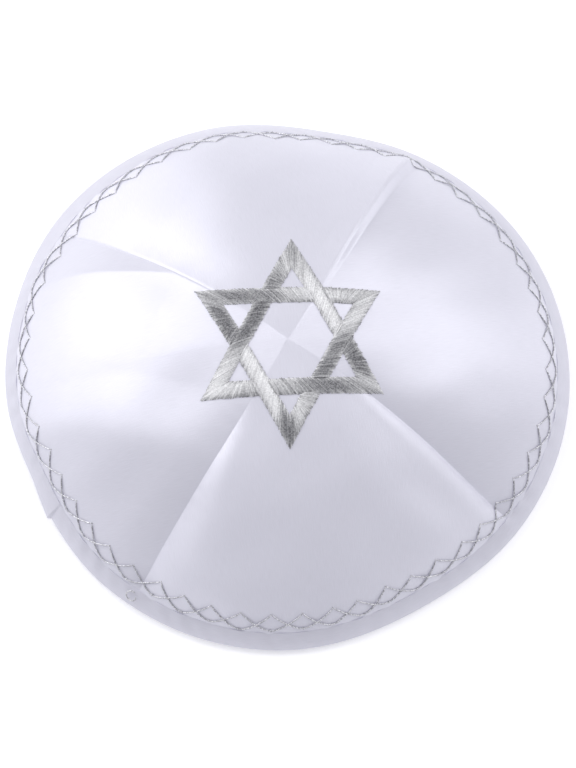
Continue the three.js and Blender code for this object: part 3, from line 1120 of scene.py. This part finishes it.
def on_edge(edge, place):
    """Points along a three-point edge, for places from 0 to 1 at the tip and on to 2."""
    return np.stack([np.interp(place, (0, 1, 2), edge[:, axis]) for axis in (0, 1)], axis=-1)


tip_span = np.linalg.norm(star_tip(1) - star_tip(4))
print("star", round(float(tip_span), 1), "mm from its top tip to its bottom tip")

# %% [markdown]
# Each arm is a band of satin stitches: threads laid side by side from the band's outer edge to its
# inner edge, over a padded middle. Satin stitch gleams in long stretches, because neighbouring
# stitches lie almost alike, and it flips from bright to dark where the band turns. That gleam is
# painted into the colour: a short table gives each arm's painted highlight and painted shade at a
# few places along it. Every stitch takes its painted light from there with a little chance, and its
# two ends, where it dives into the cloth, get a painted glint or painted shade at random.

# %% Star stitches
STITCH_RADIUS = 0.19
STITCH_PITCH = 0.36
STITCH_POINTS = 8
STITCH_STRAY = 0.12
PADDING = 0.6
PAINTED_END_GLINT = 0.26
PAINTED_LIGHT_STRAY = 0.13
PAINTED_GLEAM_PLACES = (0.1, 0.4, 0.7, 0.88, 1.12, 1.3, 1.6, 1.9)
# Painted highlight and shade along each arm, from 0 for dark to 1 for bright.
PAINTED_GLEAMS = {
    "upper right": (0.6, 0.7, 0.65, 0.6, 0.7, 0.9, 0.2, 0.18),
    "top": (0.15, 0.25, 0.6, 0.25, 0.35, 0.8, 0.88, 0.88),
    "upper left": (0.1, 0.0, 0.0, 0.3, 0.25, 0.06, 0.14, 0.8),
    "lower left": (0.6, 0.75, 0.85, 0.9, 0.9, 0.8, 0.0, 0.05),
    "bottom": (0.55, 0.75, 0.6, 0.0, 0.0, 1.0, 1.0, 0.97),
    "lower right": (0.15, 0.08, 0.15, 0.65, 0.35, 0.08, 0.12, 0.62),
}


def stitch_paths(index):
    """Each stitch's path over the padding, and its place along the arm from 0 to 2."""
    outer, inner = arm_edge(index, 0), arm_edge(index, STAR_BAND)
    legs = [np.linalg.norm(outer[leg + 1] - outer[leg]) for leg in (0, 1)]
    places = np.concatenate([leg + np.arange(0, 1, STITCH_PITCH / legs[leg]) for leg in (0, 1)])
    across = np.linspace(0, 1, STITCH_POINTS)[None, :, None]
    start, end = on_edge(outer, places)[:, None], on_edge(inner, places)[:, None]
    direction = (end - start) / np.linalg.norm(end - start, axis=-1, keepdims=True)
    start = start + direction * RNG.normal(0, STITCH_STRAY, start.shape[:2] + (1,))
    end = end + direction * RNG.normal(0, STITCH_STRAY, start.shape[:2] + (1,))
    plan = start + (end - start) * across
    azimuth, share = crown_place(plan[..., 0], plan[..., 1])
    padding = 0.05 + PADDING * np.sin(np.pi * across[..., 0]) ** 0.35
    height = padding + RNG.normal(0, 0.03, (len(places), 1))
    return list(crown_point(azimuth, share, height)), places


def stitch_painted_light(index, places):
    """Painted highlight and shade of each stitch at each of its points: a row for each stitch."""
    painted_gleam = list(PAINTED_GLEAMS.values())[index]
    across = np.linspace(0, 1, STITCH_POINTS)
    middle = np.interp(places, PAINTED_GLEAM_PLACES, painted_gleam) + RNG.normal(0, PAINTED_LIGHT_STRAY, len(places))
    # Painted glints or painted shade at each stitch's two ends, at random.
    painted_end_glints = RNG.uniform(0.1, 1.0, (len(places), 2))
    towards_start = np.clip(1 - across / PAINTED_END_GLINT, 0, 1)
    towards_end = np.clip(1 - (1 - across) / PAINTED_END_GLINT, 0, 1)
    plain = 1 - towards_start - towards_end
    painted_light_rows = middle[:, None] * plain + painted_end_glints[:, :1] * towards_start + painted_end_glints[:, 1:] * towards_end
    return np.clip(painted_light_rows, 0, 1)


for index in range(len(PAINTED_GLEAMS)):
    node = f"star_arm_{index + 1}"
    paths, places = stitch_paths(index)
    painted_light_rows = stitch_painted_light(index, places)
    thread_piece("stitched_" + node, paths, STITCH_RADIUS, silver, [node], painted_light_rows=painted_light_rows)

# %% [markdown]
# ## Floor
#
# A plain pale sheet, wide enough to run past every view. It glows faintly, which keeps the cap's
# shadow on it as light as in a studio with a white table.

# %% Floor
FLOOR_HALF_WIDTH = 3.0
floor_mesh = bpy.data.meshes.new("floor")
floor_bm = bmesh.new()
bmesh.ops.create_grid(floor_bm, x_segments=1, y_segments=1, size=FLOOR_HALF_WIDTH)
floor_bm.to_mesh(floor_mesh)
floor_bm.free()
floor = bpy.data.objects.new("floor", floor_mesh)
bpy.context.scene.collection.objects.link(floor)
floor_finish = Finish("pale_floor")
floor_mesh.materials.append(floor_finish.surface({
    "Base Color": (0.93, 0.93, 0.94, 1),
    "Roughness": 0.9,
    "Specular IOR Level": 0.1,
    "Emission Color": (1, 1, 1, 1),
    "Emission Strength": 0.25,
}))
print("floor", 2 * FLOOR_HALF_WIDTH, "m wide")
